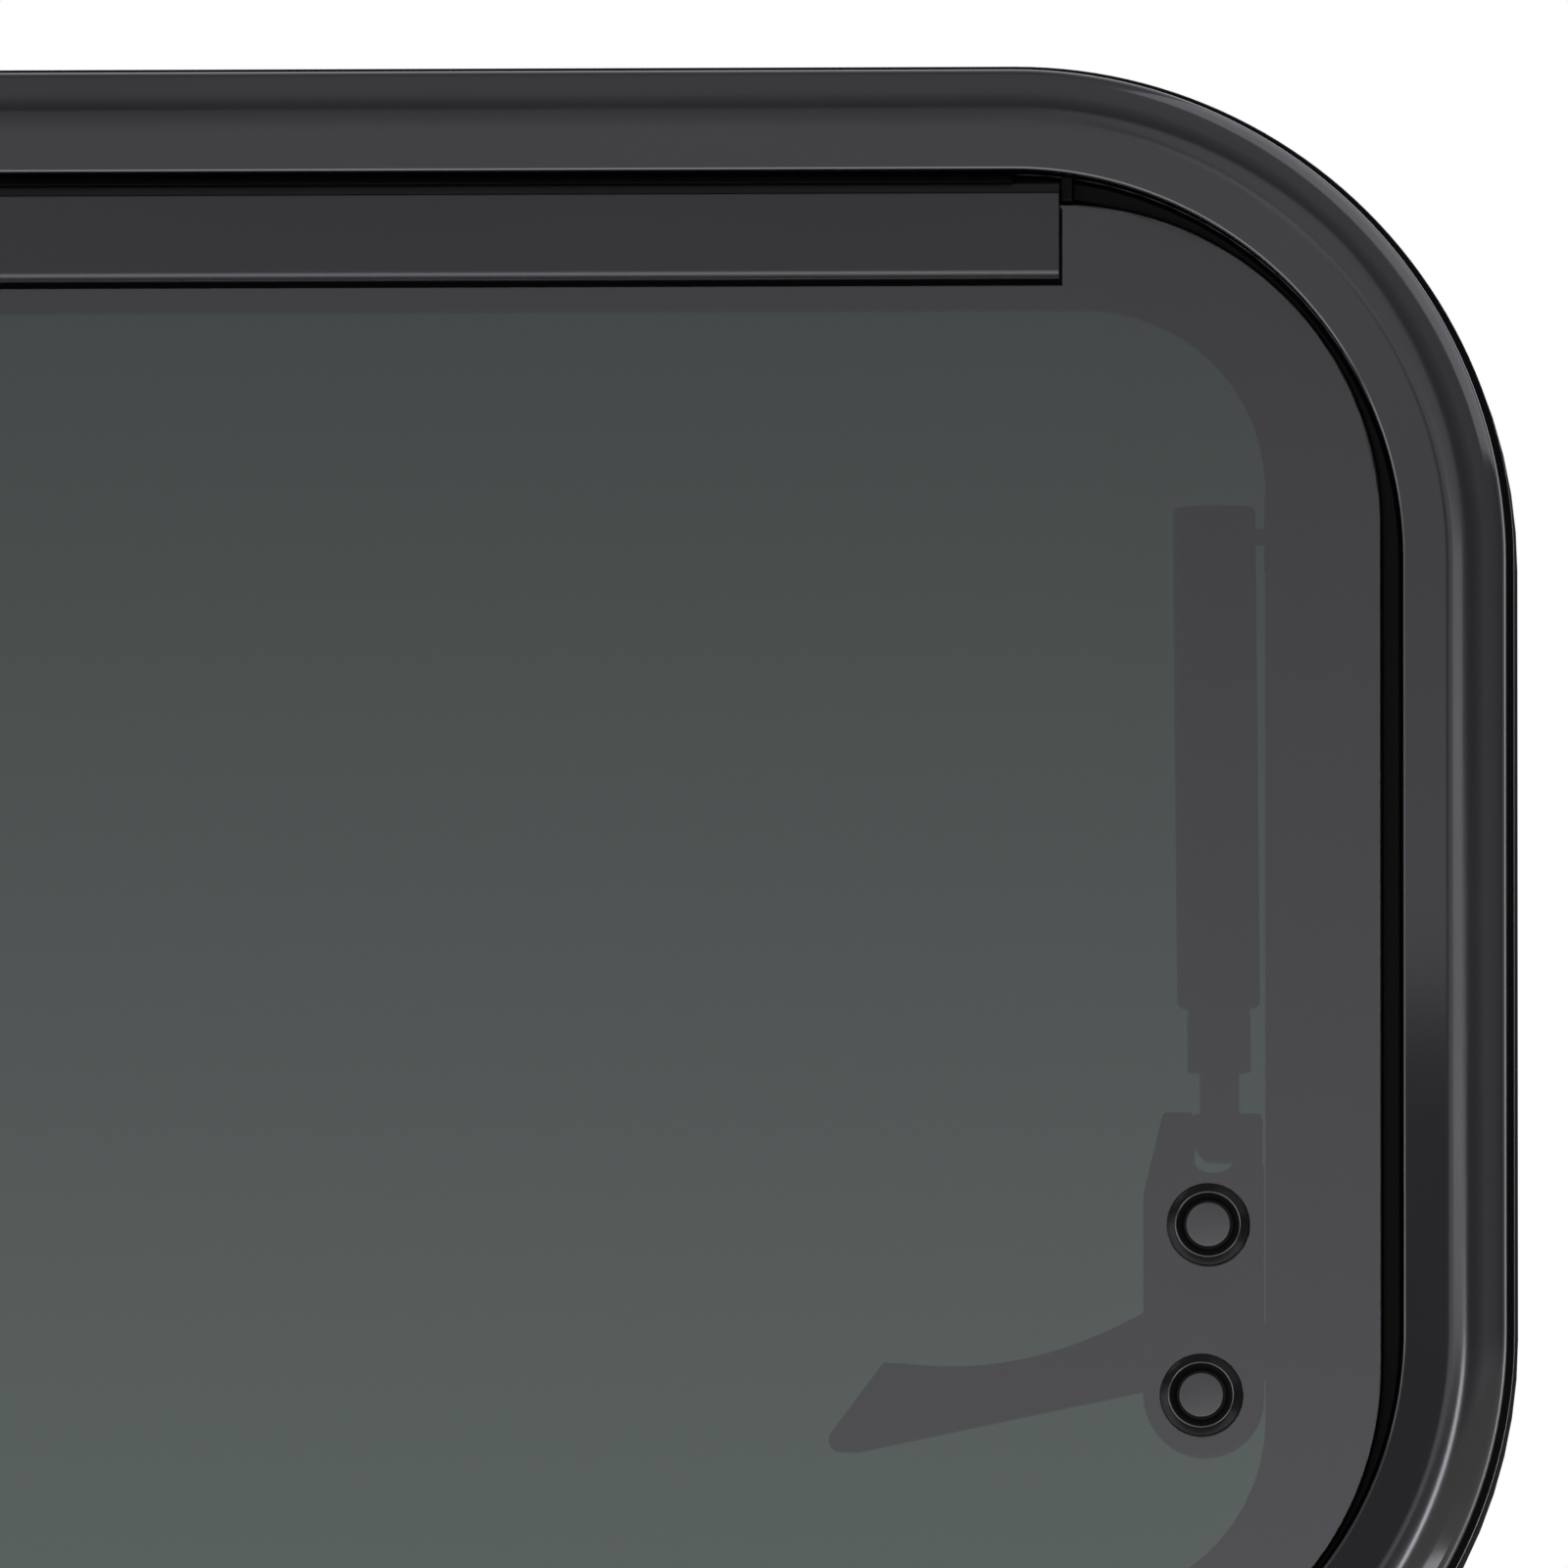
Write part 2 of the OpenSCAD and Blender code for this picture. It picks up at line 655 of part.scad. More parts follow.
// Lever: a hub, a tapering blade that sweeps inwards and a short tongue behind the keeper
module latch_lever(left) {
    color([0.12, 0.12, 0.12]) stand_up() side_of(left) difference() {
        union() {
            translate([latch_x, lever_y, lever_front - lever_t]) linear_extrude(lever_t) {
                circle(hub_r);
                polygon(blade_points());
            }
            translate([latch_x, lever_y - keeper_w / 2, lever_front - tongue_t])
                cube([tongue_len, keeper_w, tongue_t]);
        }
        translate([latch_x, lever_y, lever_front - lever_t - 1])
            cylinder(h = lever_t + 2, r = pivot_r + 0.15);
    }
}

// Points of a sagging curve between two points
function sagging(p, q, sag, steps) =
    [for (i = [0:steps]) let (t = i / steps) p + (q - p) * t - [0, 4 * sag * t * (1 - t)]];

// Outline of the lever's blade from its hub: sagging upper edge, crown, sloping blunt nose, straight lower edge
function blade_points() = let (tip_x = nose_r - lever_len, tip_y = nose_r - lever_drop - nose_h) concat(
    [[0, hub_r]],
    sagging([-root_reach, root_up], [crown_len + crown_w - lever_len, -crown_down], blade_sag, 8),
    [[crown_len - lever_len, crown_rise - crown_down]],
    arc_points(tip_x, tip_y, nose_r, nose_r, 145, 255, 4),
    [[heel_len - lever_len, -lever_drop - nose_h], [-root_reach, -root_down], [0, -hub_r]]
);

module latch_pivot_pin(left) {
    head = 1.8;
    color([0.4, 0.4, 0.4]) stand_up() side_of(left) translate([latch_x, lever_y, 0]) {
        translate([0, 0, lever_front - lever_t - head]) cylinder(h = head - 0.1, r = pivot_r + 2.5);
        translate([0, 0, lever_front - lever_t - head]) cylinder(h = head + lever_t + 7, r = pivot_r);
    }
}

// Keeper plate on the neck, in front of the lever's tongue
module latch_keeper(left) {
    from_x = latch_x + latch_w / 2 + 3;
    rib = 8;
    y = lever_y - keeper_w / 2;
    z = lever_front + lever_gap;
    to_x = neck_x - seat_gap - corner_drop(in_neck + frame_t, outer_r - half_h - y);
    color([0.08, 0.08, 0.08]) stand_up() side_of(left) union() {
        translate([from_x, y, z]) cube([to_x - from_x, keeper_w, keeper_t]);
        translate([to_x - keeper_t, y, z]) cube([keeper_t, keeper_w, rib]);
    }
}

// Two round caps on the outside, each with a shank through the glass into the latch body
module fixing_caps(left) {
    r = cap_d / 2;
    disc = cap_disc_d / 2;
    color([0.06, 0.06, 0.06]) stand_up() side_of(left) for (p = screw_places())
        translate([p[0], p[1], glass_front]) union() {
            rotate_extrude() polygon([
                [0, 0], [r, 0], [r, cap_h * 0.4], [r - 0.5, cap_h * 0.75], [r - 1.7, cap_h],
                [r - 2.8, cap_h], [disc + 1, cap_h * 0.6], [disc + 0.6, cap_h * 0.3], [disc, cap_h * 0.3],
                [disc, cap_h * 0.65], [0, cap_h * 0.65]
            ]);
            translate([0, 0, -glass_t - washer_t - shank_in]) cylinder(h = glass_t + washer_t + shank_in + 0.5,
                r = shank_r);
        }
}

module fixing_washers(left) {
    color([0.03, 0.03, 0.03]) stand_up() side_of(left) for (p = screw_places())
        translate([p[0], p[1], latch_front]) difference() {
            cylinder(h = washer_t, r = washer_r);
            translate([0, 0, -1]) cylinder(h = washer_t + 2, r = hole_r);
        }
}

outer_frame();
skin_gasket();
glass_seal();
glass_pane();
inner_ring();
hinge_rail();
hinge_bonding_strip();
hinge_socket_rail();
hinge_stop(true);  // hinge_stop_left
hinge_stop(false);  // hinge_stop_right
stay_tube(true);  // stay_tube_left
stay_ferrule(true);  // stay_ferrule_left
stay_rod(true);  // stay_rod_left
stay_end_block(true);  // stay_end_block_left
stay_top_bracket(true);  // stay_top_bracket_left
stay_top_pin(true);  // stay_top_pin_left
stay_foot_pin(true);  // stay_foot_pin_left
stay_tube(false);  // stay_tube_right
stay_ferrule(false);  // stay_ferrule_right
stay_rod(false);  // stay_rod_right
stay_end_block(false);  // stay_end_block_right
stay_top_bracket(false);  // stay_top_bracket_right
stay_top_pin(false);  // stay_top_pin_right
stay_foot_pin(false);  // stay_foot_pin_right
latch_body(true);  // latch_body_left
latch_lever(true);  // latch_lever_left
latch_pivot_pin(true);  // latch_pivot_pin_left
latch_keeper(true);  // latch_keeper_left
fixing_caps(true);  // fixing_caps_left
fixing_washers(true);  // fixing_washers_left
latch_body(false);  // latch_body_right
latch_lever(false);  // latch_lever_right
latch_pivot_pin(false);  // latch_pivot_pin_right
latch_keeper(false);  // latch_keeper_right
fixing_caps(false);  // fixing_caps_right
fixing_washers(false);  // fixing_washers_right
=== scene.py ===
"""The looks of a caravan window: finely rounded pieces, their finishes, a pale studio and the camera.

Sections and outlines are drawn in the window's own plane, in millimetres: x to the right seen from
outside, y up from the window's middle and z outwards from the wall's outer skin.
"""

import math

import bmesh
import bpy
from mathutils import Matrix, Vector


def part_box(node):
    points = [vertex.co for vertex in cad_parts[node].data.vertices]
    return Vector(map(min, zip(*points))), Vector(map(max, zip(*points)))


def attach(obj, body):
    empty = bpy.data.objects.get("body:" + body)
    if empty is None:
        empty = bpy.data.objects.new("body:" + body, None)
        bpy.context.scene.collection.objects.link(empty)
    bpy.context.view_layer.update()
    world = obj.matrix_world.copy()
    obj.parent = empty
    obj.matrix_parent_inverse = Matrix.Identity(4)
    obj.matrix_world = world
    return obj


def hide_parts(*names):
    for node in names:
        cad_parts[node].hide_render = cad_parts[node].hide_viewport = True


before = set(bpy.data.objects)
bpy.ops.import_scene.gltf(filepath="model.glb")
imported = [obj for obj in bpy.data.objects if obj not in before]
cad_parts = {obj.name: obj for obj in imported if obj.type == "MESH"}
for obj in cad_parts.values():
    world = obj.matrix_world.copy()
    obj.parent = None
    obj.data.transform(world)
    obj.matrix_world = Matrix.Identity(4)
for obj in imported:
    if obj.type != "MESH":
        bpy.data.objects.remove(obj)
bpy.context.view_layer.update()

MM = 0.001
BODY = "root"
SIDES = {"right": 1, "left": -1}


# Sizes taken from the frame

def box_mm(node):
    """Lowest and highest corner of a CAD node in the window's plane: x, y, z in millimetres."""
    low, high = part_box(node)
    return (
        Vector((low.x, low.z - MIDDLE_Z, -high.y)) / MM,
        Vector((high.x, high.z - MIDDLE_Z, -low.y)) / MM,
    )


outer_low, outer_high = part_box("outer_frame")
MIDDLE_Z = (outer_low.z + outer_high.z) / 2
HALF_W = (outer_high.x - outer_low.x) / 2 / MM
HALF_H = (outer_high.z - outer_low.z) / 2 / MM
CREST_H = -outer_low.y / MM
GASKET_T = box_mm("skin_gasket")[1].z
GLASS_LOW, GLASS_HIGH = box_mm("glass_pane")
GLASS_BACK = GLASS_LOW.z
GLASS_FRONT = GLASS_HIGH.z
NECK_END = box_mm("outer_frame")[0].z
RING_LOW, RING_HIGH = box_mm("inner_ring")
RAIL_LOW, RAIL_HIGH = box_mm("hinge_rail")

# Sizes of the frame's section, the same as the construction's
OUTER_R = 136.0
FOOT_REACH = 2.0
FACE_W = 27.6
CREST_IN = 14.0
SIDE_H = 17.5
FACE_FALL = 1.2
FRAME_T = 1.8
FOOT_W = 10.0
IN_NECK = 17.5
IN_LIP = FOOT_REACH + FACE_W
LEDGE_W = 14.5
LEDGE_H = 5.0
IN_CREST = FOOT_REACH + CREST_IN
SIDE_TOP = GASKET_T + SIDE_H
SIDE_ROUNDING = 3
CREST_EASE = 2.5
CREST_PAST = 0.8
LIP_R = 0.9


# Mesh helpers

def place(x, y, z):
    """A point of the window's plane, in metres in the row's frame."""
    return Vector((x * MM, -z * MM, MIDDLE_Z + y * MM))


def add_piece(name, verts, faces, material, sharp=35):
    """Makes a smooth-shaded piece with clean normals, which rides on the body."""
    mesh = bpy.data.meshes.new(name)
    mesh.from_pydata([tuple(v) for v in verts], [], faces)
    work = bmesh.new()
    work.from_mesh(mesh)
    bmesh.ops.remove_doubles(work, verts=work.verts, dist=1e-7)
    bmesh.ops.recalc_face_normals(work, faces=work.faces)
    work.to_mesh(mesh)
    work.free()
    mesh.polygons.foreach_set("use_smooth", [True] * len(mesh.polygons))
    mesh.set_sharp_from_angle(angle=math.radians(sharp))
    piece = bpy.data.objects.new(name, mesh)
    bpy.context.scene.collection.objects.link(piece)
    mesh.materials.append(material)
    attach(piece, BODY)
    return piece


def arc(cx, cy, rx, ry, start, end, steps):
    """Points of an arc of an ellipse, angles in degrees."""
    angles = [math.radians(start + (end - start) * i / steps) for i in range(steps + 1)]
    return [(cx + rx * math.cos(a), cy + ry * math.sin(a)) for a in angles]


def rounded(corners, steps=4):
    """A closed outline from (x, y, radius) corners, each rounded by its radius."""
    points = []
    for i, (x, y, r) in enumerate(corners):
        here = Vector((x, y))
        if r <= 0:
            points.append((x, y))
            continue
        before = (Vector(corners[i - 1][:2]) - here).normalized()
        after = (Vector(corners[(i + 1) % len(corners)][:2]) - here).normalized()
        half = before.angle(after) / 2
        reach = r / math.tan(half)
        centre = here + (before + after).normalized() * (r / math.sin(half))
        start = here + before * reach - centre
        turn = start.angle_signed(here + after * reach - centre)
        for k in range(steps + 1):
            a = -turn * k / steps
            points.append((
                centre.x + start.x * math.cos(a) - start.y * math.sin(a),
                centre.y + start.x * math.sin(a) + start.y * math.cos(a),
            ))
    return points


def sharp_corners(points):
    return [(x, y, 0) for x, y in points]


def sweep_ring(name, section, material, corner_steps=40, sharp=35, straight_steps=6):
    """Sweeps a closed section of (inset, height) points round the window's rounded rectangle.

    Its faces lie in the section's order, one section after another.
    """
    stations = []
    for quarter in range(4):
        sx = 1 if quarter in (0, 3) else -1
        sy = 1 if quarter in (0, 1) else -1
        cx = sx * (HALF_W - OUTER_R)
        cy = sy * (HALF_H - OUTER_R)
        for k in range(corner_steps + 1):
            a = math.radians(90 * quarter + 90 * k / corner_steps)
            stations.append((cx, cy, math.cos(a), math.sin(a)))
        nx = -cx if quarter in (0, 2) else cx
        ny = cy if quarter in (0, 2) else -cy
        end = math.radians(90 * (quarter + 1))
        for k in range(1, straight_steps):
            t = k / straight_steps
            stations.append((cx + (nx - cx) * t, cy + (ny - cy) * t, math.cos(end), math.sin(end)))
    verts = []
    for cx, cy, dx, dy in stations:
        for inset, height in section:
            r = OUTER_R - inset
            verts.append(place(cx + r * dx, cy + r * dy, height))
    n = len(section)
    faces = []
    for s in range(len(stations)):
        t = (s + 1) % len(stations)
        for j in range(n):
            k = (j + 1) % n
            faces.append((s * n + j, s * n + k, t * n + k, t * n + j))
    return add_piece(name, verts, faces, material, sharp)


def lathe(name, profile, at, axis, material, steps=64, sharp=35):
    """Turns a profile of (radius, distance) points about an axis through a point of the window's plane."""
    axis = Vector(axis).normalized()
    side = axis.cross(Vector((0.31, 0.77, 0.55))).normalized()
    other = axis.cross(side)
    verts = []
    for k in range(steps):
        a = 2 * math.pi * k / steps
        out = side * math.cos(a) + other * math.sin(a)
        for r, d in profile:
            p = Vector(at) + axis * d + out * r
            verts.append(place(p.x, p.y, p.z))
    n = len(profile)
    faces = []
    for k in range(steps):
        t = (k + 1) % steps
        for j in range(n - 1):
            faces.append((k * n + j, k * n + j + 1, t * n + j + 1, t * n + j))
    return add_piece(name, verts, faces, material, sharp)


def inset_loop(loop, distance):
    """A closed outline moved to its left by a distance: inwards where it runs anticlockwise."""
    moved = []
    for i, point in enumerate(loop):
        here = Vector(point)
        before = (here - Vector(loop[i - 1])).normalized()
        after = (Vector(loop[(i + 1) % len(loop)]) - here).normalized()
        first = Vector((-before.y, before.x))
        mitre = (first + Vector((-after.y, after.x))).normalized()
        moved.append(here + mitre * (distance / max(0.4, mitre.dot(first))))
    return moved


def plate(name, loops, low, high, edge, material, to_place=place, steps=3, sharp=35):
    """A plate with rounded rims: its outline runs anticlockwise and its holes clockwise."""
    rim = []
    for k in range(steps + 1):
        a = math.radians(90 * k / steps)
        rim.append((edge * (1 - math.sin(a)), low + edge * (1 - math.cos(a))))
    rim += [(inset, low + high - z) for inset, z in reversed(rim)]
    work = bmesh.new()
    ends = {0: [], -1: []}
    for loop in loops:
        rings = [[work.verts.new((*p, z)) for p in inset_loop(loop, inset)] for inset, z in rim]
        for lower, upper in zip(rings, rings[1:]):
            for i in range(len(loop)):
                k = (i + 1) % len(loop)
                work.faces.new((lower[i], lower[k], upper[k], upper[i]))
        for end, edges in ends.items():
            ring = rings[end]
            edges += [work.edges.get((ring[i - 1], ring[i])) for i in range(len(loop))]
    for edges in ends.values():
        bmesh.ops.triangle_fill(work, edges=edges, use_beauty=True, normal=(0, 0, 1))
    work.verts.index_update()
    verts = [to_place(*v.co) for v in work.verts]
    faces = [[v.index for v in f.verts] for f in work.faces]
    work.free()
    piece = add_piece(name, verts, faces, material, sharp)
    flatten = piece.modifiers.new("flat_faces", "WEIGHTED_NORMAL")
    flatten.keep_sharp = True
    return piece


def circle(x, y, r, steps=48):
    """A closed circle that runs anticlockwise."""
    return arc(x, y, r, r, 0, 360, steps)[:-1]


def rounded_rect(half_w, half_h, r, steps=32):
    """A closed rounded rectangle round the window's middle, anticlockwise."""
    points = []
    for sx, sy, start in ((1, 1, 0), (-1, 1, 90), (-1, -1, 180), (1, -1, 270)):
        points += arc(sx * (half_w - r), sy * (half_h - r), r, r, start, start + 90, steps)
    return points


def mirrored(points, side):
    """Points of the right side, or their mirror images for the left, still turning the same way."""
    if side > 0:
        return list(points)
    return [(-x, y) for x, y in reversed(points)]


# Finishes

def new_material(name, color, roughness, metallic=0.0, specular=0.5, ior=1.5):
    material = bpy.data.materials.new(name)
    material.use_nodes = True
    shader = material.node_tree.nodes["Principled BSDF"]
    shader.inputs["Base Color"].default_value = (*color, 1)
    shader.inputs["Roughness"].default_value = roughness
    shader.inputs["Metallic"].default_value = metallic
    shader.inputs["Specular IOR Level"].default_value = specular
    shader.inputs["IOR"].default_value = ior
    return material, shader


def noise(nodes, links, scale, detail=3.0, stretch=(1, 1, 1)):
    """A noise texture in the object's own coordinates, in features per metre."""
    where = nodes.new("ShaderNodeTexCoord")
    mapping = nodes.new("ShaderNodeMapping")
    mapping.inputs["Scale"].default_value = stretch
    texture = nodes.new("ShaderNodeTexNoise")
    texture.inputs["Scale"].default_value = scale
    texture.inputs["Detail"].default_value = detail
    links.new(where.outputs["Object"], mapping.inputs["Vector"])
    links.new(mapping.outputs["Vector"], texture.inputs["Vector"])
    return texture


def ranged(nodes, links, source, low, high, to_low, to_high):
    """Maps a texture's value to a range."""
    node = nodes.new("ShaderNodeMapRange")
    node.inputs["From Min"].default_value = low
    node.inputs["From Max"].default_value = high
    node.inputs["To Min"].default_value = to_low
    node.inputs["To Max"].default_value = to_high
    links.new(source, node.inputs["Value"])
    return node.outputs["Result"]


def blended(nodes, links, factor, first, second):
    """Colour between two colours by a factor."""
    mix = nodes.new("ShaderNodeMix")
    mix.data_type = "RGBA"
    mix.inputs["A"].default_value = (*first, 1)
    mix.inputs["B"].default_value = (*second, 1)
    links.new(factor, mix.inputs["Factor"])
    return mix.outputs["Result"]


# The values between which a noise texture mostly lies
NOISE_RANGE = (0.3, 0.7)


def finish_surface(name, dark, light, rough_low, rough_high, grain_scale, grain_depth,
                   patch_scale=9.0, stretch=(1, 1, 1), **shader_values):
    """A procedural finish: slow patches of colour and gloss over a fine grain."""
    material, shader = new_material(name, dark, rough_low, **shader_values)
    nodes = material.node_tree.nodes
    links = material.node_tree.links
    patches = noise(nodes, links, patch_scale, 4.0, stretch).outputs["Fac"]
    color = blended(nodes, links, ranged(nodes, links, patches, *NOISE_RANGE, 0, 1), dark, light)
    links.new(color, shader.inputs["Base Color"])
    roughness = ranged(nodes, links, patches, *NOISE_RANGE, rough_low, rough_high)
    links.new(roughness, shader.inputs["Roughness"])
    grain = noise(nodes, links, grain_scale, 2.0, stretch)
    bump = nodes.new("ShaderNodeBump")
    bump.inputs["Strength"].default_value = 1.0
    bump.inputs["Distance"].default_value = grain_depth * MM
    links.new(grain.outputs["Fac"], bump.inputs["Height"])
    links.new(bump.outputs["Normal"], shader.inputs["Normal"])
    return material


GLASS_TINT = (0.0207, 0.0435, 0.0272)
GLASS_IOR = 1.62
HAZE_SCALE = 14.0
HAZE_ROUGHNESS = 0.012


def privacy_glass():
    """Polished tinted glass with a trace of haze."""
    material, shader = new_material("privacy_glass", GLASS_TINT, 0.0, ior=GLASS_IOR)
    nodes = material.node_tree.nodes
    links = material.node_tree.links
    shader.inputs["Transmission Weight"].default_value = 1.0
    haze = noise(nodes, links, HAZE_SCALE, 3.0).outputs["Fac"]
    roughness = ranged(nodes, links, haze, *NOISE_RANGE, 0.0, HAZE_ROUGHNESS)
    links.new(roughness, shader.inputs["Roughness"])
    return material


COAT = finish_surface("gloss_black_coat", (0.0035, 0.0035, 0.0042), (0.006, 0.006, 0.007), 0.08, 0.13,
                      900, 0.001, specular=0.58)
# The frame's own black coat, darkened and stripped of its sheen: painted shade for the flange and the upright
# side, which lie in a shaded groove.
SIDE_PAINTED_SHADE_COAT = finish_surface("side_coat_painted_shade", (0.003, 0.003, 0.003), (0.006, 0.006, 0.006), 0.3, 0.4,
                           1200, 0.002, specular=0.06)
RAIL_COAT = finish_surface("satin_black_coat", (0.003, 0.003, 0.0034), (0.005, 0.005, 0.0056), 0.3, 0.36,
                           1600, 0.002, stretch=(0.15, 1, 1), specular=0.36)
DARK_COAT = finish_surface("dark_coat", (0.002, 0.002, 0.002), (0.004, 0.004, 0.004), 0.4, 0.5, 1500, 0.003,
                           specular=0.05)
# Black rubber, made near-black with hardly any sheen: partly the rubber's own colour, partly painted shade of
# the deep gap round the seal.
RUBBER_AND_PAINTED_SHADE = finish_surface("black_rubber_and_painted_shade", (0.0015, 0.0015, 0.0015), (0.003, 0.003, 0.003), 0.5, 0.62,
                        2200, 0.012, specular=0.04)
# Black bonding strip, made near-black with no sheen: partly its own colour, partly painted shade of the
# recess under the hinge rail.
ADHESIVE_AND_PAINTED_SHADE = finish_surface("black_adhesive_and_painted_shade", (0.0006, 0.0006, 0.0006), (0.0012, 0.0012, 0.0012), 0.6, 0.7,
                          2200, 0.01, specular=0.01)
PLASTIC = finish_surface("grained_plastic", (0.012, 0.012, 0.013), (0.018, 0.018, 0.019), 0.42, 0.52,
                         2600, 0.02)
# Dark plastic of the inner ring, made darker and duller still: partly its own colour, partly painted shade of
# the wall side.
RING_PLASTIC_AND_PAINTED_SHADE = finish_surface("ring_plastic", (0.003, 0.003, 0.0033), (0.006, 0.006, 0.0065), 0.42, 0.52,
                              2400, 0.02, specular=0.12)
SATIN_PLASTIC = finish_surface("satin_plastic", (0.014, 0.014, 0.015), (0.02, 0.02, 0.021), 0.3, 0.38,
                               2200, 0.008)
CAP_PLASTIC = finish_surface("dull_cap_plastic", (0.003, 0.003, 0.003), (0.005, 0.005, 0.005), 0.2, 0.28,
                             1200, 0.001, specular=0.07)
BEAD_PLASTIC = finish_surface("gloss_bead_plastic", (0.01, 0.01, 0.01), (0.014, 0.014, 0.014), 0.16, 0.22,
                              1200, 0.001, specular=0.5)
DISC_PLASTIC = finish_surface("cap_disc", (0.024, 0.024, 0.025), (0.032, 0.032, 0.033), 0.3, 0.4, 1500, 0.003,
                              specular=0.4)
STEEL = finish_surface("bright_steel", (0.42, 0.42, 0.43), (0.52, 0.52, 0.53), 0.26, 0.36, 2600, 0.004,
                       stretch=(1, 1, 6), metallic=1.0)
ROD_METAL = finish_surface("dark_rod", (0.02, 0.02, 0.021), (0.03, 0.03, 0.031), 0.22, 0.3, 2400, 0.002,
                           stretch=(6, 6, 1))
GLASS = privacy_glass()


# Outer frame, gasket and seal

def flat_half(steps):
    """The flat half of the face, eased into the crest over a short way, down to the lip."""
    fall = FACE_FALL / (FACE_W - CREST_IN - CREST_EASE / 2)
    points = []
    for i in range(1, steps + 1):
        s = CREST_EASE * i / steps
        points.append((IN_CREST + s, CREST_H - fall * s * s / (2 * CREST_EASE)))
    return points


def face_arc(inset, steps):
    """The rounded outer half of the face, an ellipse that runs a little past the crest."""
    rx = CREST_IN + CREST_PAST
    edge = math.degrees(math.acos(CREST_PAST / rx))
    ry = (CREST_H - SIDE_TOP) / math.sin(math.radians(edge))
    return arc(IN_CREST + CREST_PAST, SIDE_TOP, rx - inset, ry - inset, 180, 180 - edge, steps)


def side_corners():
    """Corners of the foot's flange and of the upright side on it."""
    return [
        (0, GASKET_T, 0.15),
        (0, GASKET_T + FRAME_T, 0.5),
        (FOOT_REACH, GASKET_T + FRAME_T, 0.1),
    ]


def frame_section():
    """The frame's section, every edge broken."""
    lip_h = CREST_H - FACE_FALL
    points = rounded(side_corners() + [(FOOT_REACH, SIDE_TOP, 0)], SIDE_ROUNDING)[:-1]
    points += face_arc(0, 28)
    points += flat_half(8)
    points += [(IN_LIP - 1.2, lip_h + 0.02)]
    points += arc(IN_LIP - LIP_R, lip_h - LIP_R, LIP_R, LIP_R, 80, 0, 6)
    points += rounded([
        (IN_LIP, LEDGE_H, 0),
        (IN_LIP + LEDGE_W, LEDGE_H, 0.3),
        (IN_LIP + LEDGE_W, LEDGE_H - FRAME_T, 0.3),
        (IN_NECK + FRAME_T, LEDGE_H - FRAME_T, 0),
        (IN_NECK + FRAME_T, NECK_END, 0.3),
        (IN_NECK, NECK_END, 0.3),
        (IN_NECK, lip_h - FRAME_T, 0),
    ], 3)
    points += [p for p in reversed(face_arc(FRAME_T, 12)) if p[0] < IN_NECK]
    points += [
        (FOOT_REACH + FRAME_T, GASKET_T + FRAME_T),
        (FOOT_W, GASKET_T + FRAME_T),
        (FOOT_W, GASKET_T),
    ]
    return points


def build_frame():
    """The frame: glossy on its face; the foot's flange and the upright side get a darker coat with hardly any
    sheen, painted shade of the groove there.
    """
    section = frame_section()
    piece = sweep_ring("frame_profile", section, COAT, corner_steps=48, sharp=30)
    piece.data.materials.append(SIDE_PAINTED_SHADE_COAT)
    # Faces of the flange and the upright side take the coat with painted shade.
    shade_from = 2 * (SIDE_ROUNDING + 1) - 1
    shade_to = 3 * (SIDE_ROUNDING + 1)
    for face in piece.data.polygons:
        if shade_from <= face.index % len(section) < shade_to:
            face.material_index = 1
    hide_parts("outer_frame")


build_frame()


# Finishes and softened edges of the construction's own pieces

def both(*names):
    return [name + "_" + side for name in names for side in SIDES]


WELD_REACH = 0.002


def dress(nodes, material, edge=0.3, segments=2, angle=32):
    """Gives the frame's nodes their finish and rounds their edges by a small radius."""
    for node in nodes:
        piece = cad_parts[node]
        for place_of_finish in piece.material_slots:
            place_of_finish.material = material
        weld = piece.modifiers.new("weld", "WELD")
        weld.merge_threshold = WELD_REACH * MM
        round_off = piece.modifiers.new("round_off", "BEVEL")
        round_off.limit_method = "ANGLE"
        round_off.angle_limit = math.radians(angle)
        round_off.width = edge * MM
        round_off.segments = segments
        round_off.harden_normals = True


# The seal's rubber is darkened as painted shade of its gap.
dress(["glass_seal"], RUBBER_AND_PAINTED_SHADE, 0.25)
dress(["skin_gasket"], RUBBER_AND_PAINTED_SHADE, 0.4)
# The bonding strip's finish carries painted shade of the recess under the rail.
dress(["hinge_bonding_strip"], ADHESIVE_AND_PAINTED_SHADE, 0.2)
dress(["hinge_socket_rail"], DARK_COAT, 0.2)
dress(both("hinge_stop"), RUBBER_AND_PAINTED_SHADE, 0.4)
# The inner ring's finish carries painted shade of the wall side.
dress(["inner_ring"], RING_PLASTIC_AND_PAINTED_SHADE, 1.2, 3)
dress(both("stay_top_bracket"), DARK_COAT, 0.3)
dress(both("stay_top_pin", "stay_foot_pin", "latch_pivot_pin"), STEEL, 0.3)
dress(both("latch_keeper"), SATIN_PLASTIC, 0.4)
dress(both("fixing_washers"), RUBBER_AND_PAINTED_SHADE, 0.2)


# Glass, hinge rail, fixing caps and clamp screws

GLASS_R = 88.0
HOLE_R = 5.0
LATCH_X = 381.1
LATCH_Y = -122.1
SCREW_PLACES = ((LATCH_X, LATCH_Y), (LATCH_X + 1.9, LATCH_Y + 46.4))
RAIL_TOP = 205.7
RAIL_EDGE_R = 2.4
WEB_T = 1.5
BEAD = (207.4, 11.5)
BEAD_R = 1.9
SHANK_R = 4.0
STRIP_T = 1.0

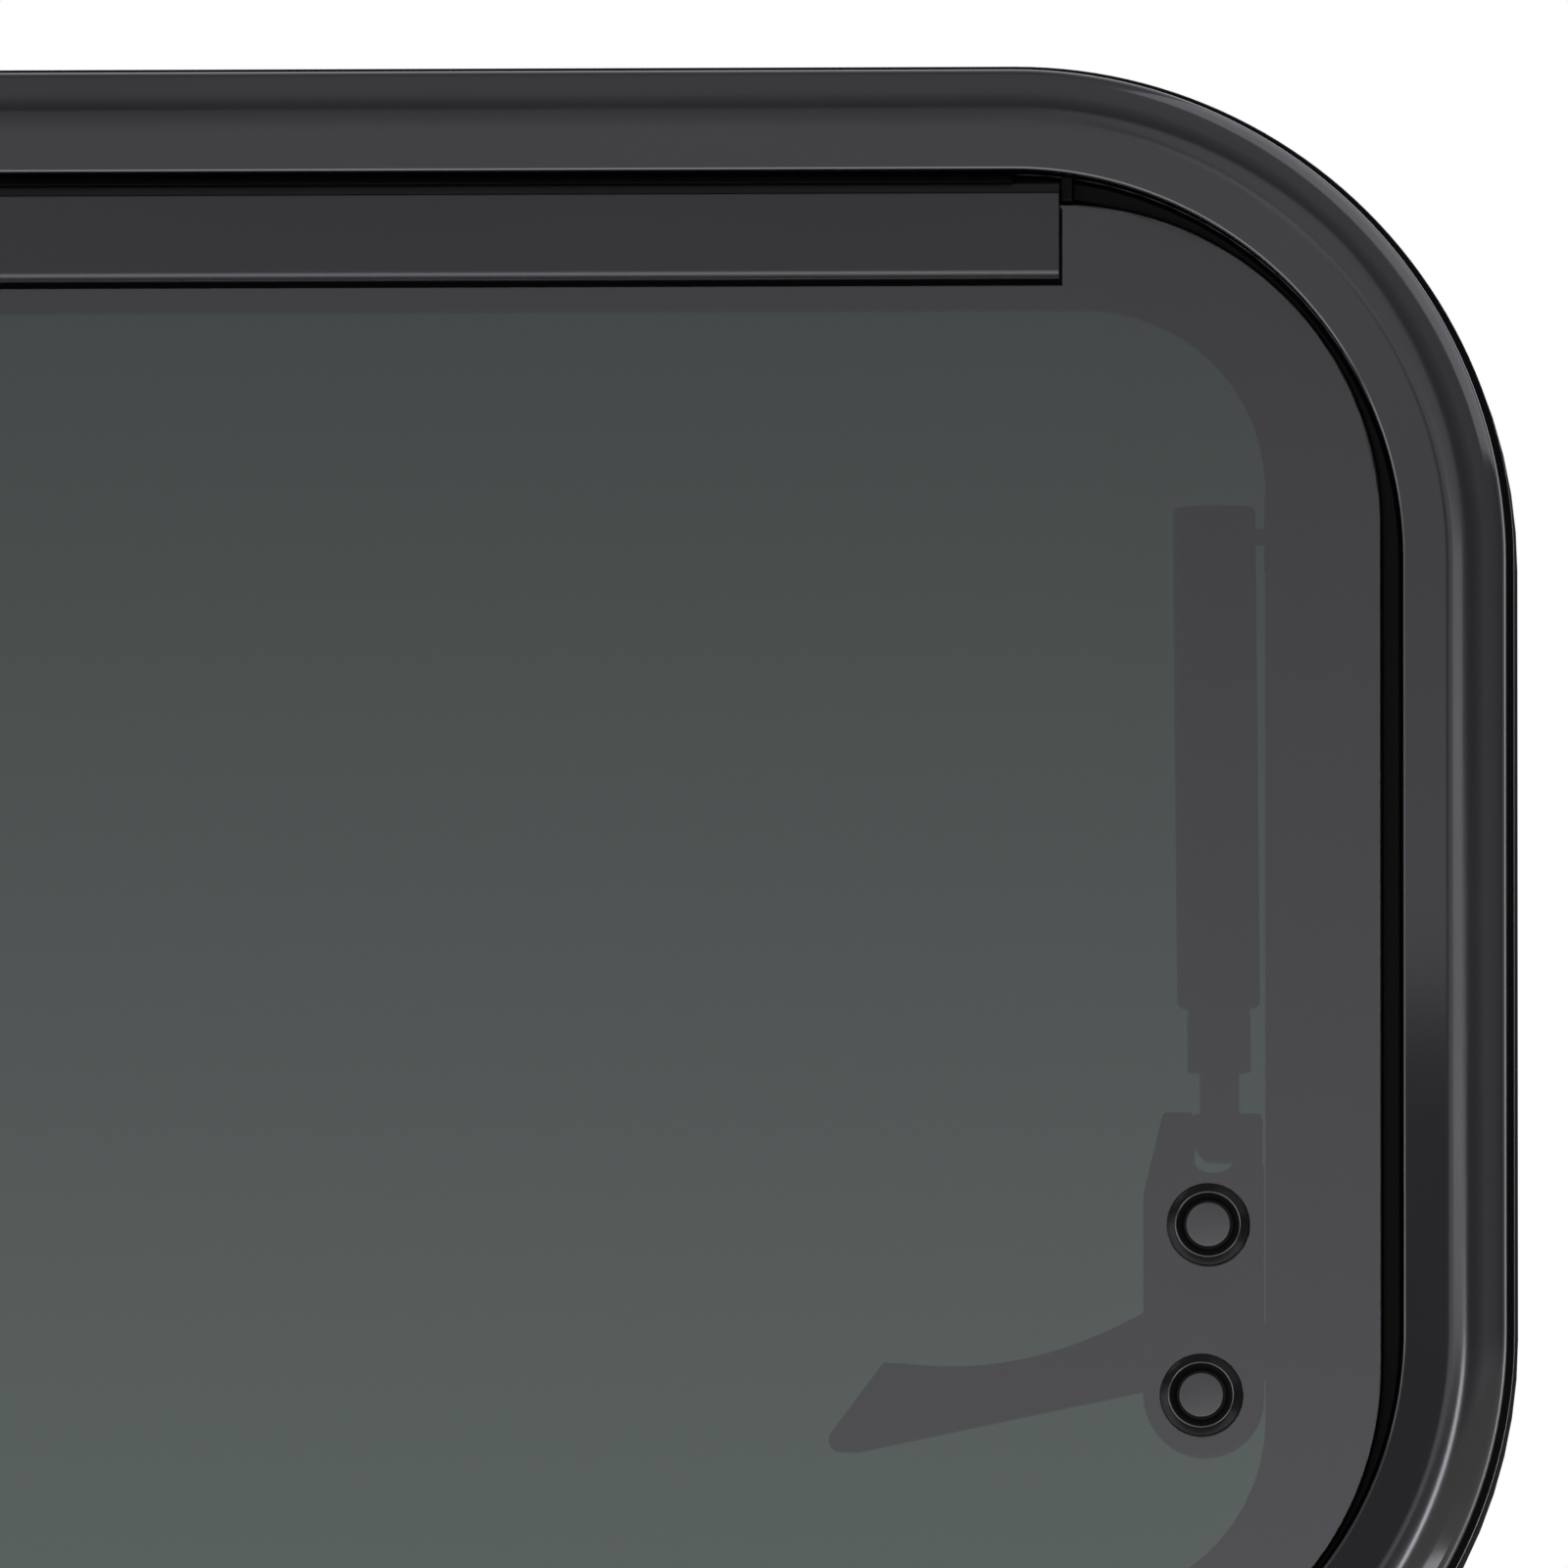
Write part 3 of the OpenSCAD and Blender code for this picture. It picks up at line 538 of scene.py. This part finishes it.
# Radii of a fixing cap, and heights on it as shares of its own height
CAP_R = 11.35
CAP_EDGE_R = 0.6
CAP_BEAD_R = 8.8
CAP_BEAD_HALF_W = 0.35
CAP_BEAD_HALF_H = 0.19
CAP_BEAD_AT = 0.8
CAP_DISC_R = 6.1
CAP_DISC_EDGE_R = 0.4
CAP_DISC_TOP = 0.74
CAP_DISC_EDGE_H = 0.12
CAP_SEAT = 0.55
CAP_GROOVE = 0.3
CAP_GROOVE_W = 0.6
CAP_CROWN_IN = 0.82
CAP_CROWN_OUT = 0.84
CAP_RIM = 0.62
CAP_RIM_FALL = 0.28

# The ring's opening and its clamp screws
RING_OPEN_W = 397.4
RING_OPEN_H = 176.5
CLAMPS_ACROSS = (-0.62, -0.31, 0, 0.31, 0.62)
CLAMPS_UP = (-0.36, 0.36)
CLAMP_HEAD_R = 3.5
CLAMP_HEAD_H = 0.8


def build_glass():
    """The pane, with a polished edge and a hole for each latch screw."""
    outline = rounded_rect(GLASS_HIGH.x, GLASS_HIGH.y, GLASS_R)
    holes = [circle(s * x, y, HOLE_R)[::-1] for s in SIDES.values() for x, y in SCREW_PLACES]
    pane = plate("glass_pane_polished", [outline] + holes, GLASS_BACK, GLASS_FRONT, 0.6, GLASS,
                 steps=4)
    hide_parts("glass_pane")


def build_hinge_rail():
    """The rail's section, run along the window: rounded lower edge, web and round bead."""
    back = GLASS_FRONT + STRIP_T
    front = RAIL_HIGH.z
    bead = arc(*BEAD, BEAD_R, BEAD_R, -180, 90, 24)
    section = rounded(
        [(RAIL_LOW.y, back, 0.3), (RAIL_TOP - WEB_T, back, 0), (RAIL_TOP - WEB_T, BEAD[1], 0)]
        + sharp_corners(bead)
        + [(RAIL_TOP, back + WEB_T, 0), (RAIL_TOP, front, 0.7), (RAIL_LOW.y, front, RAIL_EDGE_R)],
        8)
    rail = plate("hinge_rail_polished", [section], RAIL_LOW.x, RAIL_HIGH.x, 0.25, RAIL_COAT,
                 to_place=lambda y, z, x: place(x, y, z))
    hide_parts("hinge_rail")


def build_caps(side_name, side):
    """Round caps: a dull flared rim with a fine glossy bead, a flat disc and a shank through the glass."""
    low, high = box_mm("fixing_caps_" + side_name)
    r = CAP_R
    top = high.z - GLASS_FRONT
    shank = low.z - GLASS_FRONT
    groove = CAP_GROOVE * top
    profile = [
        (0.0, CAP_SEAT * top),
        (CAP_DISC_R - 0.3, CAP_SEAT * top),
        (CAP_DISC_R, groove),
        (CAP_DISC_R + CAP_GROOVE_W, groove),
        (CAP_BEAD_R - 0.3, CAP_CROWN_IN * top),
        (CAP_BEAD_R + 0.4, CAP_CROWN_OUT * top),
        (r - 0.9, CAP_RIM * top),
    ]
    profile += arc(r - CAP_EDGE_R, groove, CAP_EDGE_R, CAP_RIM_FALL * top, 80, 0, 6)
    profile += [(r, 0.0), (SHANK_R, 0.0), (SHANK_R, shank + 0.4), (SHANK_R - 0.4, shank), (0.0, shank)]
    bead = arc(CAP_BEAD_R, CAP_BEAD_AT * top, CAP_BEAD_HALF_W, CAP_BEAD_HALF_H * top, 0, 360, 16)
    disc_top = CAP_DISC_TOP * top
    edge_h = CAP_DISC_EDGE_H * top
    edge_x = CAP_DISC_R - 0.45
    disc = [(0.0, disc_top), (edge_x, disc_top)]
    disc += arc(edge_x, disc_top - edge_h, CAP_DISC_EDGE_R, edge_h, 90, 0, 4)
    disc += [(edge_x + CAP_DISC_EDGE_R, 0.4 * top), (0.0, 0.4 * top)]
    parts = (
        ("cap", profile, CAP_PLASTIC),
        ("cap_bead", bead, BEAD_PLASTIC),
        ("cap_disc", disc, DISC_PLASTIC),
    )
    for i, (x, y) in enumerate(SCREW_PLACES):
        for name, outline, finish in parts:
            lathe(f"{name}_{side_name}_{i + 1}", outline, (side * x, y, GLASS_FRONT), (0, 0, 1),
                              finish, steps=96)
    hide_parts("fixing_caps_" + side_name)


def clamp_screw_places():
    """Places of the ring's clamp screws, round the middle line between the collar and the edge."""
    half_w = (RING_HIGH.x + RING_OPEN_W) / 2
    half_h = (RING_HIGH.y + RING_OPEN_H) / 2
    places = [(half_w * t, s * half_h) for t in CLAMPS_ACROSS for s in (-1, 1)]
    places += [(s * half_w, half_h * t) for t in CLAMPS_UP for s in (-1, 1)]
    return places


def build_clamp_screws():
    """Flat pan head screws with a round recess, on the room side of the ring."""
    head = [(0.0, 0.2), (1.0, 0.2), (1.2, CLAMP_HEAD_H), (1.7, CLAMP_HEAD_H)]
    head += arc(1.7, 0.1, CLAMP_HEAD_R - 1.7, CLAMP_HEAD_H - 0.1, 85, 0, 7)
    head += [(CLAMP_HEAD_R, -0.3), (0.0, -0.3)]
    for i, (x, y) in enumerate(clamp_screw_places()):
        lathe(f"clamp_screw_{i + 1}", head, (x, y, RING_LOW.z), (0, 0, -1), STEEL, steps=32)


build_glass()
build_hinge_rail()
build_clamp_screws()
for side_name, side in SIDES.items():
    build_caps(side_name, side)


# Stays and latches

STAY_X = 385.5
FOOT_Y = -51.2
STAY_LEAN = 0.5
STAY_Z = -6.2
TUBE_R = 11.3
FERRULE_R = 8.7
ROD_R = 5.45
TUBE_HEAD_R = 1.2
TUBE_FOOT_R = 2.2
CUFF_GROOVE = 0.6
CUFF_EDGE_R = 0.9
CUFF_CLEARANCE = 0.2
BLOCK_W = 18.2
BLOCK_H = 13.0
BLOCK_T = 13.0
LATCH_R = 16.0
LATCH_RISE = 77.4
LATCH_EDGE = 0.28
HORN_EDGE = 5.4
HORN_W = 8.0
HORN_GAP = 0.3
HOLLOW = (10.7, 3.2)
LEVER_T = 6.0
LEVER_Y = -108.7
HUB_R = 11.0
TONGUE_REACH = 34.0
TONGUE_HALF_W = 8.0
TONGUE_T = 4.0


def stay_axis(side):
    """The point of the stay's axis level with the window's middle, and the axis' direction."""
    lean = math.radians(STAY_LEAN)
    along = Vector((-side * math.sin(lean), math.cos(lean), 0))
    foot = Vector((side * STAY_X, FOOT_Y, STAY_Z))
    return foot - along * FOOT_Y, along


def build_stay(side_name, side):
    """Tube, grooved ferrule and rod of a stay, turned about its axis."""
    base, along = stay_axis(side)
    tube_low, tube_high = box_mm("stay_tube_" + side_name)
    foot = tube_low.y
    head = tube_high.y
    ferrule = box_mm("stay_ferrule_" + side_name)[0].y
    tube = [(0.0, head), (TUBE_R - TUBE_HEAD_R, head)]
    tube += arc(TUBE_R - TUBE_HEAD_R, head - TUBE_HEAD_R, TUBE_HEAD_R, TUBE_HEAD_R, 90, 0, 5)
    tube += arc(TUBE_R - TUBE_FOOT_R, foot + TUBE_FOOT_R, TUBE_FOOT_R, TUBE_FOOT_R, 0, -90, 6)
    tube += [(FERRULE_R - 1, foot), (FERRULE_R - 1, foot + 3), (0.0, foot + 3)]
    piece = lathe("tube_" + side_name, tube, base, along, PLASTIC, steps=72)
    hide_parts("stay_tube_" + side_name)
    bore = ROD_R + CUFF_CLEARANCE
    cuff = [
        (bore, foot + 2),
        (FERRULE_R, foot + 2),
        (FERRULE_R, foot - 0.8),
        (FERRULE_R - CUFF_GROOVE, foot - 0.9),
        (FERRULE_R - CUFF_GROOVE, foot - 1.6),
        (FERRULE_R, foot - 1.7),
    ]
    cuff += arc(FERRULE_R - CUFF_EDGE_R, ferrule + CUFF_EDGE_R, CUFF_EDGE_R, CUFF_EDGE_R, 0, -90, 4)
    cuff += [(bore, ferrule), (bore, foot + 2)]
    piece = lathe("ferrule_" + side_name, cuff, base, along, SATIN_PLASTIC, steps=72)
    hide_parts("stay_ferrule_" + side_name)
    end = box_mm("stay_rod_" + side_name)[0].y
    rod = [(0.0, foot + 6), (ROD_R, foot + 6), (ROD_R, end + 0.3), (ROD_R - 0.3, end), (0.0, end)]
    piece = lathe("rod_" + side_name, rod, base, along, ROD_METAL, steps=64)
    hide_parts("stay_rod_" + side_name)


def latch_top():
    return LATCH_Y + LATCH_RISE


def build_end_block(side_name, side):
    """The block at the rod's foot, beside the latch body's horn."""
    left = LATCH_X - LATCH_R + HORN_EDGE + HORN_W + HORN_GAP
    top = latch_top()
    outline = rounded([
        (left, top - BLOCK_H, 5.0),
        (left + BLOCK_W, top - BLOCK_H, 1.0),
        (left + BLOCK_W, top, 1.0),
        (left, top, 0.8),
    ], 5)
    block = plate("end_block_" + side_name, [mirrored(outline, side)], STAY_Z - BLOCK_T / 2,
                  STAY_Z + BLOCK_T / 2, 0.6, SATIN_PLASTIC)
    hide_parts("stay_end_block_" + side_name)


def build_latch_body(side_name, side):
    """Round at the bottom, a slim horn beside the stay's block and a hollow under the block."""
    top = latch_top()
    shoulder = top - BLOCK_H - HORN_GAP
    left = LATCH_X - LATCH_R
    horn = left + HORN_EDGE + HORN_W
    hollow_w, hollow_d = HOLLOW
    block_left = horn + HORN_GAP
    right = LATCH_X + LATCH_R + LATCH_EDGE
    foot = arc((left + right) / 2, LATCH_Y, (right - left) / 2, LATCH_R, 180, 360, 36)
    hollow = arc(block_left + hollow_w / 2, shoulder, hollow_w / 2, hollow_d, 360, 180, 12)
    outline = rounded(
        sharp_corners(foot) + [(right, shoulder, 0.8)] + sharp_corners(hollow)
        + [(horn, shoulder, 0), (horn, top, 0.8), (left + HORN_EDGE, top, 1.2), (left, shoulder - 9, 3.0)])
    low, high = box_mm("latch_body_" + side_name)
    body = plate("latch_housing_" + side_name, [mirrored(outline, side)], low.z, high.z, 0.5, PLASTIC)
    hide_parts("latch_body_" + side_name)


def sagging(p, q, sag, steps):
    """Points of a sagging curve between two points."""
    points = []
    for i in range(steps + 1):
        t = i / steps
        points.append((p[0] + (q[0] - p[0]) * t, p[1] + (q[1] - p[1]) * t - 4 * sag * t * (1 - t)))
    return points


def lever_outline():
    """Outline of the lever round its pivot: hub, sagging upper edge, crown and sloping blunt nose."""
    points = arc(0, 0, HUB_R, HUB_R, -90, 90, 24)
    points += sagging((-16.7, 10.6), (-81.5, -3.1), 5.6, 12)
    points += [(-87.5, -2.8)]
    points += arc(-99.1, -23.9, 3.4, 3.4, 145, 255, 8)
    points += [(-94.5, -27.3), (-16.7, -11)]
    return points


def build_lever(side_name, side):
    """The lever's blade, and the tongue that lies behind the keeper."""
    outline = [(x + LATCH_X, y + LEVER_Y) for x, y in lever_outline()]
    front = box_mm("latch_lever_" + side_name)[1].z
    blade = plate("lever_" + side_name, [mirrored(outline, side)], front - LEVER_T, front, 1.2, SATIN_PLASTIC,
                  steps=4)
    tongue = rounded([
        (LATCH_X, LEVER_Y - TONGUE_HALF_W, 0),
        (LATCH_X + TONGUE_REACH, LEVER_Y - TONGUE_HALF_W, 2.0),
        (LATCH_X + TONGUE_REACH, LEVER_Y + TONGUE_HALF_W, 2.0),
        (LATCH_X, LEVER_Y + TONGUE_HALF_W, 0),
    ], 4)
    plate("lever_tongue_" + side_name, [mirrored(tongue, side)], front - TONGUE_T, front - 0.05, 0.5,
          SATIN_PLASTIC)
    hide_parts("latch_lever_" + side_name)


for side_name, side in SIDES.items():
    build_stay(side_name, side)
    build_end_block(side_name, side)
    build_latch_body(side_name, side)
    build_lever(side_name, side)


# Studio and camera

VIEW_AZIMUTH = 2.5
VIEW_ELEVATION = -4.0
VIEW_DISTANCE = 15.0
MM_PER_PIXEL = 0.267
PHOTO_SIZE = 1600
MIDDLE_PX = (-199.0, 973.5)
SENSOR = 36.0
CLIP_END = 100

FLOOR_Z = -1.2
FLOOR_SIZE = 120
KEY_AT = (-1.8, -2.6, 2.4)
KEY_SIZE = (1.2, 1.2)
KEY_POWER = 30

# The light that gloss sees: a faintly cool tint, and levels by height and by depth from -1 to 1
COOL = (1.01, 0.985, 1.08)
ROOM_BY_HEIGHT = ((-1, 0.8), (1, 0.5), (-0.1, 0.8), (0.05, 0.3), (0.35, 0.3), (0.8, 0.27))
ROOM_BY_DEPTH = ((-1, 1.0), (1, 3.6), (-0.95, 1.0), (-0.85, 2.1), (0, 1.0), (0.4, 1.2))


def make_camera():
    """A long lens at the photograph's angle; the window's middle lies left of the picture."""
    a = math.radians(VIEW_AZIMUTH)
    e = math.radians(VIEW_ELEVATION)
    back = Vector((math.sin(a) * math.cos(e), -math.cos(a) * math.cos(e), math.sin(e)))
    turn = (-back).to_track_quat("-Z", "Y")
    right = turn @ Vector((1, 0, 0))
    up = turn @ Vector((0, 1, 0))
    half = PHOTO_SIZE / 2
    aim = Vector((0, 0, MIDDLE_Z))
    aim += right * (half - MIDDLE_PX[0]) * MM_PER_PIXEL * MM
    aim += up * (MIDDLE_PX[1] - half) * MM_PER_PIXEL * MM
    data = bpy.data.cameras.new("camera")
    data.sensor_width = SENSOR
    data.lens = SENSOR * VIEW_DISTANCE / (PHOTO_SIZE * MM_PER_PIXEL * MM)
    data.clip_end = CLIP_END
    camera = bpy.data.objects.new("camera", data)
    camera.rotation_mode = "QUATERNION"
    camera.location = aim + back * VIEW_DISTANCE
    camera.rotation_quaternion = turn
    bpy.context.scene.collection.objects.link(camera)
    bpy.context.scene.camera = camera


def ramped(nodes, links, source, stops, tint=(1, 1, 1)):
    """A level, plain or tinted, from a value between -1 and 1."""
    ramp = nodes.new("ShaderNodeValToRGB")
    links.new(ranged(nodes, links, source, -1, 1, 0, 1), ramp.inputs["Fac"])
    elements = ramp.color_ramp.elements
    for i, (position, level) in enumerate(stops):
        stop = elements[i] if i < 2 else elements.new(1.0)
        stop.position = (position + 1) / 2
        stop.color = (*(level * share for share in tint), 1)
    return ramp.outputs["Color"]


def make_world():
    """White to the camera, to plain light and through the glass; gloss sees a soft room of several levels."""
    world = bpy.data.worlds.new("studio")
    bpy.context.scene.world = world
    world.use_nodes = True
    nodes = world.node_tree.nodes
    links = world.node_tree.links
    nodes.clear()
    out = nodes.new("ShaderNodeOutputWorld")
    white = nodes.new("ShaderNodeBackground")
    white.inputs["Color"].default_value = (1, 1, 1, 1)
    room = nodes.new("ShaderNodeBackground")
    mix = nodes.new("ShaderNodeMixShader")
    paths = nodes.new("ShaderNodeLightPath")
    where = nodes.new("ShaderNodeTexCoord")
    split = nodes.new("ShaderNodeSeparateXYZ")
    links.new(where.outputs["Generated"], split.inputs["Vector"])
    by_height = ramped(nodes, links, split.outputs["Z"], ROOM_BY_HEIGHT, COOL)
    by_depth = ramped(nodes, links, split.outputs["Y"], ROOM_BY_DEPTH)
    product = nodes.new("ShaderNodeMix")
    product.data_type = "RGBA"
    product.blend_type = "MULTIPLY"
    product.inputs["Factor"].default_value = 1.0
    links.new(by_height, product.inputs["A"])
    links.new(by_depth, product.inputs["B"])
    links.new(product.outputs["Result"], room.inputs["Color"])
    links.new(paths.outputs["Is Glossy Ray"], mix.inputs["Fac"])
    links.new(white.outputs["Background"], mix.inputs[1])
    links.new(room.outputs["Background"], mix.inputs[2])
    links.new(mix.outputs["Shader"], out.inputs["Surface"])


def stage_plane(name, width, height, centre, normal, material):
    """A plain sheet of the studio, facing along a normal."""
    mesh = bpy.data.meshes.new(name)
    w, h = width / 2, height / 2
    mesh.from_pydata([(-w, -h, 0), (w, -h, 0), (w, h, 0), (-w, h, 0)], [], [(0, 1, 2, 3)])
    mesh.materials.append(material)
    plane = bpy.data.objects.new(name, mesh)
    plane.location = centre
    plane.rotation_mode = "QUATERNION"
    plane.rotation_quaternion = Vector(normal).to_track_quat("Z", "Y")
    bpy.context.scene.collection.objects.link(plane)
    return plane


def seen_only_by(plane, glossy=False, transmission=False):
    plane.visible_camera = False
    plane.visible_diffuse = False
    plane.visible_glossy = glossy
    plane.visible_transmission = transmission
    plane.visible_volume_scatter = False
    plane.visible_shadow = False


def glow(name, low, high, start=0.0, end=1.0):
    """A card that glows, from one level at its lower edge to another at its upper edge."""
    material = bpy.data.materials.new(name)
    material.use_nodes = True
    nodes = material.node_tree.nodes
    links = material.node_tree.links
    nodes.clear()
    out = nodes.new("ShaderNodeOutputMaterial")
    emission = nodes.new("ShaderNodeEmission")
    emission.inputs["Color"].default_value = (*COOL, 1)
    where = nodes.new("ShaderNodeTexCoord")
    split = nodes.new("ShaderNodeSeparateXYZ")
    links.new(where.outputs["Generated"], split.inputs["Vector"])
    links.new(ranged(nodes, links, split.outputs["Y"], start, end, low, high), emission.inputs["Strength"])
    links.new(emission.outputs["Emission"], out.inputs["Surface"])
    return material


# Cards that only gloss sees: name, width, height, centre, normal, and levels at the lower and the upper edge,
# where needed with the shares of the height between which the level changes
FRONT = (0, 1, 0)
GLOSS_CARDS = (
    ("far_card", 0.95, 2.6, (-0.27, -10, MIDDLE_Z + 0.1), FRONT, (1.45, 0.6, 0.6, 0.95)),
    ("near_card", 1.5, 0.4, (-0.42, -0.7, MIDDLE_Z + 0.23), FRONT, (1.188, 0.594)),
    ("wide_strip", 1.6, 0.5, (1.1, -10, MIDDLE_Z + 0.73), FRONT, (3.6, 0.8, 0.4, 1.0)),
    ("slim_strip", 0.4, 1.65, (2.15, -10, MIDDLE_Z - 0.4), FRONT, (11.0, 11.0)),
    ("high_card", 6.4, 6.4, (4.2, -0.8, MIDDLE_Z + 4.2), (-0.7, 0.13, -0.7), (2.1, 2.1)),
    ("corner_card", 2.1, 2.1, (1.2, -10, MIDDLE_Z + 2.1), FRONT, (1.0, 1.0)),
    ("low_card", 5.0, 2.4, (0, -2.0, -0.9), (0, 0, 1), (5.0, 5.0)),
    ("left_card", 2.0, 2.4, (-3.2, -1.6, MIDDLE_Z), (1, 0.5, 0), (6.0, 4.0)),
)


def make_stage():
    """The floor, the cards that gloss sees and the backdrop that shows through the glass."""
    floor_finish = finish_surface("pale_floor", (0.78, 0.78, 0.78), (0.82, 0.82, 0.82), 0.7, 0.8, 300, 0.05)
    stage_plane("floor", FLOOR_SIZE, FLOOR_SIZE, (0, 0, FLOOR_Z), (0, 0, 1), floor_finish)
    for name, width, height, centre, normal, levels in GLOSS_CARDS:
        card = stage_plane(name, width, height, centre, normal, glow(name + "_glow", *levels))
        seen_only_by(card, glossy=True)
    # The backdrop as the tinted glass shows it, darker above
    behind = stage_plane("back_card", 30, 12, (0, 2.0, MIDDLE_Z), (0, -1, 0),
                         glow("back_glow", 1.0, 0.3, 0.497, 0.532))
    seen_only_by(behind, transmission=True)


def area_lamp(name, at, aim, size, power):
    data = bpy.data.lights.new(name, "AREA")
    data.shape = "RECTANGLE"
    data.size, data.size_y = size
    data.energy = power
    lamp = bpy.data.objects.new(name, data)
    lamp.location = at
    lamp.rotation_mode = "QUATERNION"
    lamp.rotation_quaternion = (Vector(aim) - Vector(at)).to_track_quat("-Z", "Y")
    lamp.visible_camera = False
    bpy.context.scene.collection.objects.link(lamp)


make_camera()
make_world()
make_stage()
area_lamp("key", KEY_AT, (0, 0, MIDDLE_Z), KEY_SIZE, KEY_POWER)

bpy.context.scene.view_settings.view_transform = "Standard"
